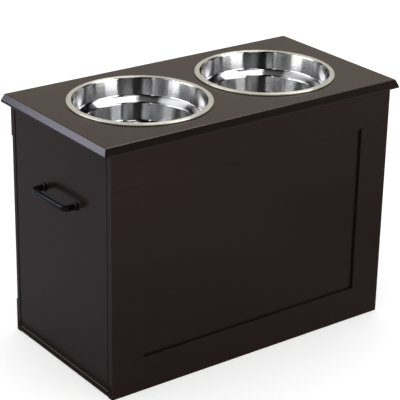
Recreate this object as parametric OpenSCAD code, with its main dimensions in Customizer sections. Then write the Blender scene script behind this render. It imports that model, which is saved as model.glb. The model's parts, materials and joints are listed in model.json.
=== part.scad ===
// Elevated pet feeder: a framed storage cabinet with a drawer in its left end
// and two steel bowls that hang in its top board.
// The origin is the centre of the cabinet's footprint, on the floor.
// +X runs along the cabinet away from the drawer face, +Y to the back and +Z up.

/* [Cabinet] */
// Length of the cabinet over the ends of its framed walls
cab_len = 570; // [560:5:760]
// Depth of the cabinet over its framed walls
cab_depth = 302; // [290:2:400]
// Height of the cabinet under the top board
cab_h = 423; // [360:1:520]
// Thickness of the cabinet boards
board_t = 12; // [12:0.5:16]
// How far the end boards stand back from the ends of the framed walls
end_recess = 0.5; // [0.5:0.5:6]

/* [Framed walls] */
// Height of the top and bottom rails
rail_h = 60; // [45:1:80]
// Width of the stiles
stile_w = 60; // [55:1:80]
// How far the wall panel stands back from the face of the rails
panel_recess = 5; // [4:0.5:6]
// Thickness of the wall panel
panel_t = 6; // [3:0.5:6]
// How far the wall panel reaches behind the rails and stiles
panel_lap = 8; // [5:0.5:10]
// How far the back wall's stiles stand back from the face of its rails
back_stile_shy = 3; // [0:0.5:3]

/* [Top board] */
// Thickness of the top board
top_t = 15; // [12:0.5:22]
// How far the top board reaches past the cabinet's ends
top_over_end = 15; // [5:0.5:30]
// How far the top board reaches past the cabinet's walls
top_over_wall = 5; // [2:0.5:20]
// Width of the bevel round the top board, seen from above
bevel_w = 5; // [2:0.5:8]
// Height of the bevel round the top board
bevel_h = 11.5; // [4:0.5:11.5]

/* [Bowls] */
// Distance between the centres of the two bowls
bowl_spacing = 259; // [250:1:266]
// Outer radius of the bowl rim
rim_r = 120.5; // [117:0.5:124]
// Width of the flat rim
rim_w = 9.5; // [8:0.5:12]
// Radius of the rolled edge of the rim
roll_r = 1.5; // [1.2:0.1:2]
// Thickness of the bowl's sheet metal
sheet_t = 0.8; // [0.6:0.1:1]
// Depth of the upper wall below the rim
upper_wall_h = 31.5; // [24:0.5:34]
// How much the upper wall leans inwards
upper_wall_lean = 4.5; // [2:0.5:8]
// Height of the sloped shoulder inside the bowl
shoulder_h = 7.5; // [6:0.5:10]
// Width of the sloped shoulder inside the bowl
shoulder_w = 14; // [8:1:18]
// Height of the lower wall
lower_wall_h = 35; // [22:1:38]
// How much the lower wall leans inwards
lower_wall_lean = 5; // [2:0.5:10]
// Radius of the bend between the lower wall and the floor
floor_bend_r = 9; // [5:0.5:14]
// Radius of the other bends in the bowl
soft_bend_r = 4; // [2:0.5:5]

/* [Drawer] */
// Thickness of the drawer's sides and back
side_t = 12; // [12:0.5:16]
// Thickness of the drawer's bottom panel
bottom_t = 5; // [3:0.5:6]
// Height of the bottom panel above the lower edge of the drawer sides
bottom_up = 8; // [6:0.5:20]
// Depth of the groove that holds the bottom panel
groove_deep = 6; // [3:0.5:7]
// Clear space behind the closed drawer
drawer_back_space = 8; // [4:1:30]
// How far the drawer pulls out
drawer_travel = 400; // [250:5:420]
// Thickness of the glide strips
glide_t = 2; // [1:0.5:4]
// Width of the glide strips
glide_w = 8; // [5:0.5:10]
// How far the glide strips stop short of the ends of the drawer sides
glide_short = 20; // [5:1:60]
// Height of the stretcher over the drawer mouth
stretcher_h = 60; // [50:1:60]
// Length of a stop block
block_len = 24; // [16:1:40]
// Thickness of a stop block
block_t = 12; // [9:0.5:16]
// Height of a stop block
block_h = 44; // [30:1:60]
// How far a stop block reaches up past the stretcher's lower edge
block_catch = 5; // [2:0.5:7]

/* [Handle] */
// Distance between the handle's two screws
handle_pitch = 96; // [64:1:160]
// Distance of the handle below the cabinet's top edge
handle_drop = 118; // [80:1:200]
// How far the handle stands out from the drawer face
handle_reach = 27; // [24:0.5:45]
// Height of the handle's bar
bar_h = 10; // [7:0.5:12]
// Thickness of the handle's bar
bar_t = 7; // [6:0.5:10]
// Radius of the rounded edges of the handle's bar
bar_edge_r = 2; // [1:0.25:2.5]
// Radius of the curve that the grip follows
grip_curve_r = 600; // [200:10:800]
// Radius of the bend between the grip and a foot
bar_bend_r = 8; // [6:0.5:12]
// How much stouter the bends are than the grip and the feet, all round
bend_swell = 0.3; // [0.2:0.05:0.8]
// Radius of the collar at a foot
collar_r = 7.5; // [6:0.5:10]
// Thickness of the collar at a foot
collar_t = 3; // [2:0.5:5]

/* [Hardware] */
// Radius of a cam lock
cam_r = 6; // [5:0.5:7]
// Depth of the hole that a cam lock sits in
cam_deep = 10; // [10:0.25:10.5]
// Distance from the edge of a board to the centre of its cam lock
cam_reach = 24; // [20:1:34]
// Radius of the screwed end of a cam bolt
bolt_r = 2.5; // [2:0.25:3]
// How deep the screwed end of a cam bolt goes in
bolt_bite = 7.5; // [6:0.5:8]
// Radius of the hole in the edge of a board for a cam bolt
bolt_hole_r = 3.5; // [3.5:0.25:4]
// Radius of a dowel
dowel_r = 3; // [2:0.25:3]
// How deep a dowel goes into each of its boards
dowel_half = 11; // [8:0.5:16]
// How deep a dowel goes into the top board or through the face of a wall
dowel_bite = 7; // [5:0.5:8]
// Radius of a wood screw
screw_r = 1.75; // [1.5:0.25:2]
// Radius of the head of a wood screw
screw_head_r = 3.5; // [3:0.25:4]
// Length of a screw that holds the drawer back
back_screw_len = 36; // [25:1:50]
// Length of a screw that holds a stop block
block_screw_len = 21; // [18:0.5:22]
// Radius of a handle screw
handle_screw_r = 2; // [1.5:0.25:2]
// Radius of the head of a handle screw
handle_head_r = 4; // [3:0.25:5]
// Height of the head of a handle screw
handle_head_h = 2.4; // [1.5:0.1:3]
// How deep a handle screw goes into the handle
handle_screw_bite = 9; // [6:0.5:10]

/* [Fixing positions] */
// Distance from the cabinet's ends to the outer cam locks under the top board
top_cam_inset = 68; // [60:1:120]
// Distance from the cabinet's ends to the outer cam locks in the base board
base_cam_inset = 85; // [70:1:120]
// Distance between the two locating dowels along each wall
dowel_pitch = 228; // [120:2:280]
// Distance between the two cam locks along the end board's upper and lower edges
end_cam_pitch = 140; // [100:2:170]
// Distance from the end board's upper and lower edges to its side cam locks
end_cam_inset = 127; // [90:1:140]
// Distance from a stile's edges to the dowels that join it to the rails
frame_dowel_inset = 18; // [14:1:22]
// Distance from the ends of the drawer sides to the cam locks of the drawer face
face_cam_inset = 46; // [30:1:60]
// Distance from the ends of the drawer sides to the outer screws of the drawer back
back_screw_inset = 40; // [25:1:60]
// Height of the lower screw above the bottom of a stop block
block_screw_up = 10; // [6:0.5:12]
// Distance between the two screws of a stop block
block_screw_pitch = 16; // [10:0.5:16]

/* [Clearances] */
// Gap round the drawer face
face_gap = 2; // [1:0.25:4]
// Gap between the drawer sides and the walls
side_gap = 2; // [1:0.25:4]
// Height of the stretcher above the drawer sides
side_top_gap = 6; // [3:0.5:12]
// Least gap between the drawer sides and the bowls that hang above them
under_bowl_gap = 6; // [3:0.5:12]
// Running gap under the glides and at the stops
slide_gap = 0.2; // [0.1:0.05:0.5]
// Gap under the rolled edge of a bowl that sits in its hole
seat_gap = 0.2; // [0.1:0.05:0.4]
// Gap between a bowl's wall and its hole
hole_gap = 1.5; // [1:0.25:3]
// Gap round a panel in its groove
groove_gap = 0.3; // [0.1:0.05:0.5]
// Radial gap round pins, screws and cams in their holes
hole_fit = 0.05; // [0.03:0.01:0.1]
// How far a cam lock or screw head sits below the surface
sink = 0.3; // [0.1:0.1:0.5]

/* [Hidden] */
$fn = 64;
eps = 0.01;

espresso = [0.18, 0.145, 0.14];
raw_board = [0.70, 0.58, 0.42];
steel = [0.80, 0.80, 0.80];
zinc = [0.62, 0.62, 0.60];
black = [0.05, 0.05, 0.055];
nylon = [0.88, 0.87, 0.84];

// Main planes of the cabinet
x_end = cab_len / 2;
y_out = cab_depth / 2;
y_in = y_out - board_t;
x_end_face = x_end - end_recess;
x_end_in = x_end_face - board_t;
x_end_mid = x_end_face - board_t / 2;
z_lid = cab_h + top_t;

// Heights and radii of the bowl, measured from its axis and from the top of its rim
rim_z = z_lid + seat_gap + 2 * roll_r;
body_r = rim_r - rim_w;
hole_r = body_r + sheet_t + hole_gap;
shoulder_r = body_r - upper_wall_lean;
lower_r = shoulder_r - shoulder_w;
floor_r = lower_r - lower_wall_lean;
shoulder_z = -upper_wall_h;
lower_z = shoulder_z - shoulder_h;
floor_z = lower_z - lower_wall_h;

// Main planes of the drawer, which clears the stretcher and the bowls above it
drawer_z = board_t + slide_gap + glide_t;
face_top_z = cab_h - face_gap;
side_out = y_in - side_gap;
side_in = side_out - side_t;
side_mid = side_out - side_t / 2;
side_top_z = min(cab_h - stretcher_h - side_top_gap,
    rim_z + floor_z - sheet_t - under_bowl_gap);
box_x0 = -x_end_in;
box_x1 = x_end_in - drawer_back_space;
back_x0 = box_x1 - side_t;
bottom_z = drawer_z + bottom_up;

// The stretcher lies just behind the closed drawer face
stretcher_x0 = box_x0 + slide_gap;
stretcher_x1 = stretcher_x0 + board_t;
stretcher_z0 = cab_h - stretcher_h;
block_x0 = stretcher_x1 + drawer_travel + slide_gap;
block_z1 = stretcher_z0 + block_catch;

// The handle's bar follows a grip arc, a bend at each end and a straight foot
handle_z = cab_h - handle_drop;
foot_y = handle_pitch / 2;
grip_r = grip_curve_r - bar_t / 2;
grip_centre_x = -x_end_face - handle_reach + grip_curve_r;
grip_angle = asin((foot_y - bar_bend_r) / (grip_r - bar_bend_r));
bar_lap = 1;
grip_lap = atan(bar_lap / grip_r);
bend_x = grip_centre_x - (grip_r - bar_bend_r) * cos(grip_angle);
bend_y = (grip_r - bar_bend_r) * sin(grip_angle);

// Where the fixings stand along each joint
top_cam_x = [top_cam_inset - x_end, 0, x_end - top_cam_inset];
base_cam_x = [base_cam_inset - x_end, 0, x_end - base_cam_inset];
dowel_x = [-dowel_pitch / 2, dowel_pitch / 2];
end_cam_y = [-end_cam_pitch / 2, end_cam_pitch / 2];
end_cam_z = [end_cam_inset, cab_h - end_cam_inset];
face_cam_z = [drawer_z + face_cam_inset, side_top_z - face_cam_inset];
back_screw_z = [drawer_z + back_screw_inset, (drawer_z + side_top_z) / 2,
    side_top_z - back_screw_inset];
block_screw_z0 = block_z1 - block_h + block_screw_up;
block_screw_z = [block_screw_z0, block_screw_z0 + block_screw_pitch];

// A joint with a cam lock is [point, way, face]: the point on the joint where the bolt
// crosses it, the way from the screwed board into the other, and the face with the cam.
function top_cams() = concat(
    [for (side = [-1, 1], x = top_cam_x)
        [[x, side * (y_out - board_t / 2), cab_h], [0, 0, -1], [0, -side, 0]]],
    [for (y = end_cam_y) [[x_end_mid, y, cab_h], [0, 0, -1], [-1, 0, 0]]]);

function base_cams() = concat(
    [for (side = [-1, 1], x = base_cam_x)
        [[x, side * y_in, board_t / 2], [0, -side, 0], [0, 0, -1]]],
    [for (y = end_cam_y) [[x_end_mid, y, board_t], [0, 0, 1], [-1, 0, 0]]]);

function end_cams() = [for (side = [-1, 1], z = end_cam_z)
    [[x_end_mid, side * y_in, z], [0, -side, 0], [-1, 0, 0]]];

function stretcher_cams() = [for (side = [-1, 1])
    [[stretcher_x0 + board_t / 2, side * y_in, cab_h - stretcher_h / 2],
        [0, -side, 0], [1, 0, 0]]];

function face_cams() = [for (side = [-1, 1], z = face_cam_z)
    [[box_x0, side * side_mid, z], [1, 0, 0], [0, -side, 0]]];

// A dowel is [point on the joint, way, depth along the way, depth against it]
function frame_dowel_list(side, shy) = [for (end = [-1, 1],
    across = [frame_dowel_inset, stile_w - frame_dowel_inset],
    joint = [[rail_h, 1], [cab_h - rail_h, -1]])
    [[end * (x_end - across), side * (y_in + (board_t - shy) / 2), joint[0]],
        [0, 0, joint[1]], dowel_half, dowel_half]];

function top_dowel_list() = [for (side = [-1, 1], x = dowel_x)
    [[x, side * (y_out - board_t / 2), cab_h], [0, 0, -1], dowel_half, dowel_bite]];

function base_dowel_list() = [for (side = [-1, 1], x = dowel_x)
    [[x, side * y_in, board_t / 2], [0, -side, 0], dowel_half, dowel_bite]];

// Turns +Z to one of the six axis directions
function turn_to(way) =
    way[0] > 0 ? [0, 90, 0] :
    way[0] < 0 ? [0, -90, 0] :
    way[1] > 0 ? [-90, 0, 0] :
    way[1] < 0 ? [90, 0, 0] :
    way[2] > 0 ? [0, 0, 0] : [180, 0, 0];

module along(point, way) {
    translate(point) rotate(turn_to(way)) children();
}

// A block between two corners
module block(low, high) {
    translate(low) cube(high - low);
}

// A block in a wall, with its depth measured inwards from the wall's outer face
module slab(side, x, deep, z) {
    y = [y_out - deep[1], y_out - deep[0]];
    block([x[0], side > 0 ? y[0] : -y[1], z[0]], [x[1], side > 0 ? y[1] : -y[0], z[1]]);
}

module dowel(d, gap = 0) {
    along(d[0] - d[1] * (d[3] + gap), d[1])
        cylinder(r = dowel_r + (gap > 0 ? hole_fit : 0), h = d[2] + d[3] + 2 * gap);
}

module dowel_cuts(list) {
    for (d = list) dowel(d, gap = 0.5);
}

// Hole for a cam bolt's thread, hole for its shank and the cam's own pocket
module cam_cuts(list) {
    for (j = list) {
        along(j[0], -j[1]) cylinder(r = bolt_r + hole_fit, h = bolt_bite + sink);
        along(j[0] - j[1] * eps, j[1]) cylinder(r = bolt_hole_r, h = cam_reach);
        along(j[0] + j[1] * cam_reach + j[2] * (board_t / 2 + eps), -j[2])
            cylinder(r = cam_r + hole_fit, h = cam_deep + eps);
    }
}

// The bolt's screwed end, collar, neck and head
module cam_bolt(j) {
    neck_r = 0.8 * bolt_r;
    along(j[0], -j[1]) cylinder(r = bolt_r, h = bolt_bite);
    along(j[0], j[1]) cylinder(r = bolt_hole_r - hole_fit, h = 1.5);
    along(j[0], j[1]) cylinder(r = neck_r, h = cam_reach - 2);
    along(j[0] + j[1] * (cam_reach - 3), j[1]) cylinder(r = bolt_r, h = 5);
}

// A round cam with a cross slot in its face and a pocket for the bolt's head
module cam_lock(j) {
    centre = j[0] + j[1] * cam_reach;
    difference() {
        along(centre + j[2] * (board_t / 2 - sink), -j[2])
            cylinder(r = cam_r, h = cam_deep - 2 * sink);
        along(centre + j[1] * 2.5, -j[1]) cylinder(r = bolt_r + 0.4, h = cam_r + 4);
        for (turn = [45, 135])
            along(centre + j[2] * (board_t / 2 + eps), -j[2])
                rotate([0, 0, turn])
                    translate([-cam_r * 0.6, -0.6, 0])
                        cube([cam_r * 1.2, 1.2, 2]);
    }
}

// A countersunk wood screw, head outwards at the point and driven along the way
module wood_screw(point, way, length, gap = 0) {
    along(point + way * (sink - gap), way) {
        cylinder(r1 = screw_head_r + gap, r2 = screw_r + gap, h = screw_head_r - screw_r);
        cylinder(r = screw_r + gap, h = length - sink + 2 * gap);
    }
}

module screw_cut(point, way, length) {
    wood_screw(point, way, length, hole_fit);
    along(point - way * eps, way) cylinder(r = screw_head_r + hole_fit, h = sink + eps);
}

// Room that the wall panel takes in the rails and stiles round it
module panel_room(side, gap = 0) {
    slab(side,
        [-x_end + stile_w - panel_lap - gap, x_end - stile_w + panel_lap + gap],
        [panel_recess, gap > 0 ? board_t + eps : panel_recess + panel_t],
        [rail_h - panel_lap - gap, cab_h - rail_h + panel_lap + gap]);
}

module rail(side, z, shy) {
    difference() {
        slab(side, [-x_end, x_end], [0, board_t], z);
        panel_room(side, groove_gap);
        dowel_cuts(frame_dowel_list(side, shy));
        children();
    }
}

module stile(side, end, shy) {
    x = end < 0 ? [-x_end, -x_end + stile_w] : [x_end - stile_w, x_end];
    difference() {
        slab(side, x, [shy, board_t], [rail_h, cab_h - rail_h]);
        panel_room(side, groove_gap);
        dowel_cuts(frame_dowel_list(side, shy));
        if (end > 0) cam_cuts(end_cams());
    }
}

module top_rail(side, shy) {
    rail(side, [cab_h - rail_h, cab_h], shy) {
        cam_cuts(top_cams());
        cam_cuts(stretcher_cams());
        dowel_cuts(top_dowel_list());
    }
}

module bottom_rail(side, shy) {
    rail(side, [0, rail_h], shy) {
        cam_cuts(base_cams());
        dowel_cuts(base_dowel_list());
    }
}

// The front wall's rails, stiles and panel
module front_top_rail() {
    color(espresso) top_rail(-1, 0);
}

module front_bottom_rail() {
    color(espresso) bottom_rail(-1, 0);
}

module front_left_stile() {
    color(espresso) stile(-1, -1, 0);
}

module front_right_stile() {
    color(espresso) stile(-1, 1, 0);
}

module front_panel() {
    color(espresso) panel_room(-1);
}

// The back wall's rails, stiles and panel
module back_top_rail() {
    color(espresso) top_rail(1, back_stile_shy);
}

module back_bottom_rail() {
    color(espresso) bottom_rail(1, back_stile_shy);
}

module back_left_stile() {
    color(espresso) stile(1, -1, back_stile_shy);
}

module back_right_stile() {
    color(espresso) stile(1, 1, back_stile_shy);
}

module back_panel() {
    color(espresso) panel_room(1);
}

// The fixed end stands on the base board between the walls
module right_end_panel() {
    color(espresso) difference() {
        block([x_end_in, -y_in, board_t], [x_end_face, y_in, cab_h]);
        cam_cuts(top_cams());
        cam_cuts(base_cams());
        cam_cuts(end_cams());
    }
}

// The base board runs to the ends of the walls, under the drawer face
module base_board() {
    color(espresso) difference() {
        block([-x_end, -y_in, 0], [x_end, y_in, board_t]);
        cam_cuts(base_cams());
        dowel_cuts(base_dowel_list());
    }
}

module mouth_stretcher() {
    color(espresso) difference() {
        block([stretcher_x0, -y_in, stretcher_z0], [stretcher_x1, y_in, cab_h]);
        cam_cuts(stretcher_cams());
    }
}

// Outline of the top board across its edge: an upright lip, then the bevel
module bevelled_outline(half) {
    lip = top_t - bevel_h;
    polygon([[-half, 0], [half, 0], [half, lip], [half - bevel_w, top_t],
        [-half + bevel_w, top_t], [-half, lip]]);
}

module top_blank() {
    half_x = x_end + top_over_end;
    half_y = y_out + top_over_wall;
    translate([0, 0, cab_h]) intersection() {
        rotate([90, 0, 0]) linear_extrude(2 * half_y, center = true)
            bevelled_outline(half_x);
        rotate([90, 0, 90]) linear_extrude(2 * half_x, center = true)
            bevelled_outline(half_y);
    }
}

module top_board() {
    color(espresso) difference() {
        top_blank();
        for (side = [-1, 1])
            translate([side * bowl_spacing / 2, 0, cab_h - 1])
                cylinder(r = hole_r, h = top_t + 2, $fn = 128);
        cam_cuts(top_cams());
        dowel_cuts(top_dowel_list());
    }
}

// Dowels between the stiles and the rails
module frame_dowels() {
    color(raw_board) {
        for (d = frame_dowel_list(-1, 0)) dowel(d);
        for (d = frame_dowel_list(1, back_stile_shy)) dowel(d);
    }
}

// Dowels that place the top board and the base board on the walls
module locating_dowels() {
    color(raw_board) {
        for (d = top_dowel_list()) dowel(d);
        for (d = base_dowel_list()) dowel(d);
    }
}

module cam_locks() {
    color(zinc) for (j = concat(top_cams(), base_cams(), end_cams(), stretcher_cams()))
        cam_lock(j);
}

module cam_bolts() {
    color(zinc) for (j = concat(top_cams(), base_cams(), end_cams(), stretcher_cams()))
        cam_bolt(j);
}

// Groove for the drawer's bottom panel, cut into the boards round it
module bottom_groove() {
    block([box_x0 - groove_deep, -side_in - groove_deep, bottom_z],
        [back_x0 + groove_deep, side_in + groove_deep, bottom_z + bottom_t + groove_gap]);
}

module drawer_face() {
    color(espresso) difference() {
        block([-x_end_face, -side_out, drawer_z], [box_x0, side_out, face_top_z]);
        bottom_groove();
        cam_cuts(face_cams());
        for (y = [-foot_y, foot_y])
            along([-x_end_face - 1, y, handle_z], [1, 0, 0])
                cylinder(r = handle_screw_r + 5 * hole_fit, h = board_t + 2);
    }
}

function back_screws(side) = [for (z = back_screw_z)
    [[back_x0 + side_t / 2, side * side_out, z], [0, -side, 0]]];

function block_screws(side) = [for (z = block_screw_z)
    [[block_x0 + block_len / 2, side * (side_in - block_t), z], [0, side, 0]]];

module drawer_side(side) {
    y = side > 0 ? [side_in, side_out] : [-side_out, -side_in];
    color(espresso) difference() {
        block([box_x0, y[0], drawer_z], [box_x1, y[1], side_top_z]);
        bottom_groove();
        cam_cuts(face_cams());
        for (s = back_screws(side)) screw_cut(s[0], s[1], back_screw_len);
        for (s = block_screws(side)) screw_cut(s[0], s[1], block_screw_len);
    }
}

module drawer_near_side() {
    drawer_side(-1);
}

module drawer_far_side() {
    drawer_side(1);
}

module drawer_back() {
    color(espresso) difference() {
        block([back_x0, -side_in, drawer_z], [box_x1, side_in, side_top_z]);
        bottom_groove();
        for (side = [-1, 1], s = back_screws(side)) screw_cut(s[0], s[1], back_screw_len);
    }
}

module drawer_bottom() {
    in = groove_deep - groove_gap;
    color(espresso) block([box_x0 - in, -side_in - in, bottom_z],
        [back_x0 + in, side_in + in, bottom_z + bottom_t]);
}

// Slippery strips under the drawer sides, which run on the base board
module drawer_glides() {
    color(nylon) for (side = [-1, 1])
        block([box_x0 + glide_short, side * side_mid - glide_w / 2, drawer_z - glide_t],
            [box_x1 - glide_short, side * side_mid + glide_w / 2, drawer_z]);
}

// Blocks inside the drawer sides that meet the stretcher when the drawer is out
module stop_blocks() {
    color(espresso) for (side = [-1, 1]) difference() {
        y = side > 0 ? [side_in - block_t, side_in] : [-side_in, -side_in + block_t];
        block([block_x0, y[0], block_z1 - block_h], [block_x0 + block_len, y[1], block_z1]);
        for (s = block_screws(side)) screw_cut(s[0], s[1], block_screw_len);
    }
}

module stop_block_screws() {
    color(zinc) for (side = [-1, 1], s = block_screws(side))
        wood_screw(s[0], s[1], block_screw_len);
}

module drawer_back_screws() {
    color(zinc) for (side = [-1, 1], s = back_screws(side))
        wood_screw(s[0], s[1], back_screw_len);
}

module drawer_cam_locks() {
    color(zinc) for (j = face_cams()) cam_lock(j);
}

module drawer_cam_bolts() {
    color(zinc) for (j = face_cams()) cam_bolt(j);
}

// Section of the handle's bar, with rounded edges, centred on the bar
module bar_section(swell = 0) {
    a = bar_t / 2 - bar_edge_r + swell;
    b = bar_h / 2 - bar_edge_r + swell;
    polygon([for (corner = [[1, 1, 0], [-1, 1, 90], [-1, -1, 180], [1, -1, 270]], i = [0:6])
        let (turn = corner[2] + 15 * i)
        [corner[0] * a + bar_edge_r * cos(turn), corner[1] * b + bar_edge_r * sin(turn)]]);
}

// A stretch of bar round a centre, from one angle through a sweep
module bar_arc(centre, radius, start, sweep, swell = 0) {
    translate([centre[0], centre[1], 0]) rotate([0, 0, start])
        rotate_extrude(angle = sweep, $fn = 180)
            translate([radius, 0]) bar_section(swell);
}

module handle_foot(side) {
    along([bend_x - bar_lap, side * foot_y, 0], [1, 0, 0]) rotate([0, 0, 90])
        linear_extrude(-x_end_face - bend_x + bar_lap) bar_section();
    along([-x_end_face - collar_t, side * foot_y, 0], [1, 0, 0])
        cylinder(r = collar_r, h = collar_t);
}

// One bar makes the grip, both bends and both feet, and each foot has a collar
module handle() {
    color(black) translate([0, 0, handle_z]) difference() {
        union() {
            bar_arc([grip_centre_x, 0], grip_r, 180 - grip_angle - grip_lap,
                2 * (grip_angle + grip_lap));
            bar_arc([bend_x, bend_y], bar_bend_r, 90, 90 - grip_angle, bend_swell);
            bar_arc([bend_x, -bend_y], bar_bend_r, 180 + grip_angle, 90 - grip_angle,
                bend_swell);
            for (side = [-1, 1]) handle_foot(side);
        }
        for (y = [-foot_y, foot_y])
            along([-x_end_face + eps, y, 0], [-1, 0, 0])
                cylinder(r = handle_screw_r + hole_fit, h = handle_screw_bite + sink);
    }
}

// Machine screws through the drawer face into the handle's feet
module handle_screws() {
    color(zinc) for (y = [-foot_y, foot_y]) difference() {
        union() {
            along([box_x0, y, handle_z], [1, 0, 0])
                cylinder(r = handle_head_r, h = handle_head_h);
            along([box_x0 + eps, y, handle_z], [-1, 0, 0])
                cylinder(r = handle_screw_r, h = board_t + handle_screw_bite);
        }
        for (turn = [0, 90])
            along([box_x0 + handle_head_h - 1.2, y, handle_z], [1, 0, 0])
                rotate([0, 0, turn])
                    translate([-handle_head_r * 0.6, -0.5, 0])
                        cube([handle_head_r * 1.2, 1, 2]);
    }
}

function unit(v) = v / norm(v);

// Points of the round bend at corner b on the way from a to c
function bend(a, b, c, r, steps = 8) =
    let (u = unit(a - b), v = unit(c - b), half = acos(u * v) / 2)
    let (centre = b + unit(u + v) * r / sin(half))
    let (start = b + u * r / tan(half) - centre, stop = b + v * r / tan(half) - centre)
    let (a0 = atan2(start[1], start[0]), a1 = atan2(stop[1], stop[0]))
    let (sweep = (a1 - a0 + 540) % 360 - 180)
    [for (i = [0:steps]) centre + r * [cos(a0 + sweep * i / steps), sin(a0 + sweep * i / steps)]];

// Corners of the bowl's inner face, from the middle of the floor to the rim
bowl_corners = [[0, floor_z], [floor_r, floor_z], [lower_r, lower_z],
    [shoulder_r, shoulder_z], [body_r, 0], [rim_r - roll_r, 0]];
bowl_bend_r = [0, floor_bend_r, soft_bend_r, soft_bend_r, soft_bend_r, 0];

// The inner face with its bends, then the rolled edge
bowl_line = concat([bowl_corners[0]],
    [for (k = [1:4]) each bend(bowl_corners[k - 1], bowl_corners[k], bowl_corners[k + 1],
        bowl_bend_r[k])],
    [for (turn = [90:-15:-135])
        [rim_r - roll_r + roll_r * cos(turn), -roll_r + roll_r * sin(turn)]]);

// The same line one sheet thickness further out and down
function sheet_side(line, t) = [for (i = [0:len(line) - 1])
    let (before = line[max(i - 1, 0)], after = line[min(i + 1, len(line) - 1)])
    let (way = unit(after - before))
    i == 0 ? line[0] - [0, t] : line[i] + t * [way[1], -way[0]]];

module bowl(side) {
    outer_line = sheet_side(bowl_line, sheet_t);
    points = concat(bowl_line, [for (i = [len(outer_line) - 1:-1:0]) outer_line[i]]);
    color(steel) translate([side * bowl_spacing / 2, 0, rim_z])
        rotate_extrude($fn = 128) polygon(points);
}

module bowl_left() {
    bowl(-1);
}

module bowl_right() {
    bowl(1);
}

front_top_rail();
front_bottom_rail();
front_left_stile();
front_right_stile();
front_panel();
back_top_rail();
back_bottom_rail();
back_left_stile();
back_right_stile();
back_panel();
right_end_panel();
base_board();
mouth_stretcher();
top_board();
frame_dowels();
locating_dowels();
cam_locks();
cam_bolts();
drawer_face();
drawer_near_side();
drawer_far_side();
drawer_back();
drawer_bottom();
drawer_glides();
stop_blocks();
stop_block_screws();
drawer_back_screws();
drawer_cam_locks();
drawer_cam_bolts();
handle();
handle_screws();
bowl_left();
bowl_right();
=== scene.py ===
# %% [markdown]
# # A raised feeder with a drawer, dressed for its portrait
#
# The feeder is a painted cabinet made of thin boards. Two steel bowls hang in
# its top and a drawer fills its inside. The boards, bowls and fasteners come
# from the CAD model as a fixed frame. This lesson gives every piece the finish
# that the real one has, and builds finer pieces where the CAD one is too plain.
# Each new piece rides on the same body as the CAD piece that it stands for.

import json
import math

import bmesh
import bpy
from mathutils import Matrix, Vector

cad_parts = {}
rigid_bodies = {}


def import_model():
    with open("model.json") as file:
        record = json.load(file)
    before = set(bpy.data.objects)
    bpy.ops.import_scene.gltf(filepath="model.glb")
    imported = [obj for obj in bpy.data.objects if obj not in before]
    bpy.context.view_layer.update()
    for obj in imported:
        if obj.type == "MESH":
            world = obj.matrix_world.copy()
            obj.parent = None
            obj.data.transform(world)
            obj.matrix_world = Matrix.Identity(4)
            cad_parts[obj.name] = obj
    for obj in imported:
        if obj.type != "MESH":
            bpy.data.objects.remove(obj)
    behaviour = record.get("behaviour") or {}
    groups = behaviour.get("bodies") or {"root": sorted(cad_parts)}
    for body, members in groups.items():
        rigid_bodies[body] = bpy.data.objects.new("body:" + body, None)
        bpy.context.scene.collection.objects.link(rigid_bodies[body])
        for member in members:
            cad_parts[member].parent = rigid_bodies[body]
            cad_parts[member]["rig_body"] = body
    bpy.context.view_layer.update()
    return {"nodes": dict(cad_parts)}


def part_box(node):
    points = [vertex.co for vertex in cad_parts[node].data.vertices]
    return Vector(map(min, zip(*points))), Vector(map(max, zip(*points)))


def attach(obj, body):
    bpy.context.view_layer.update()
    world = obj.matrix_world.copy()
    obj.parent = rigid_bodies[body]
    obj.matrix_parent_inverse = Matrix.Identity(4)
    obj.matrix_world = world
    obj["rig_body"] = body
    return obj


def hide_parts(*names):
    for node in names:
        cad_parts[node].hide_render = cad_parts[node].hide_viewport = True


MM = 0.001
WELD = 1e-6  # points closer than this are one point
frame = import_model()

# %% [markdown]
# ## The camera first
#
# The picture was matched by fitting a camera to the long straight edges of the
# cabinet. It stands to the left of the front, a little above the top board, and
# far away with a long lens, so that upright edges stay almost parallel. It rolls
# by about one degree, as a hand-held or hastily levelled camera does. Fitting
# first means that every later choice can be judged in the right view.

# %% Camera
AZIMUTH = math.radians(-36.7557)
ELEVATION = math.radians(23.0808)
ROLL = math.radians(1.0925)
STANDS_AT = (-1.49167, -1.99253, 1.29161)
SENSOR = 36.0  # width of the film, in millimetres
FOCAL_SHARE = 3.91878  # focal length as a share of the film's width

backwards = Vector((
    math.sin(AZIMUTH) * math.cos(ELEVATION),
    -math.cos(AZIMUTH) * math.cos(ELEVATION),
    math.sin(ELEVATION)))
level_x = Vector((0, 0, 1)).cross(backwards).normalized()
level_y = backwards.cross(level_x)
rolled_x = math.cos(ROLL) * level_x + math.sin(ROLL) * level_y
rolled_y = math.cos(ROLL) * level_y - math.sin(ROLL) * level_x

lens = bpy.data.cameras.new("portrait_lens")
lens.sensor_width = SENSOR
lens.lens = SENSOR * FOCAL_SHARE
lens.clip_start = 0.05
lens.clip_end = 200.0
camera = bpy.data.objects.new("portrait_camera", lens)
bpy.context.scene.collection.objects.link(camera)
turned_to = Matrix((rolled_x, rolled_y, backwards)).transposed().to_4x4()
camera.matrix_world = Matrix.Translation(STANDS_AT) @ turned_to
bpy.context.scene.camera = camera
print("lens", round(lens.lens, 2), "mm")

# %% [markdown]
# ## Writing shaders as sums
#
# A finish is a small formula: a base colour, plus a little variation, minus what
# wear takes away. Node trees hide that formula, so a small class wraps a socket
# and lets Python's own signs add the Math nodes. Every other node comes from one
# method, which first sets the node's settings and then its sockets.

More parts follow.
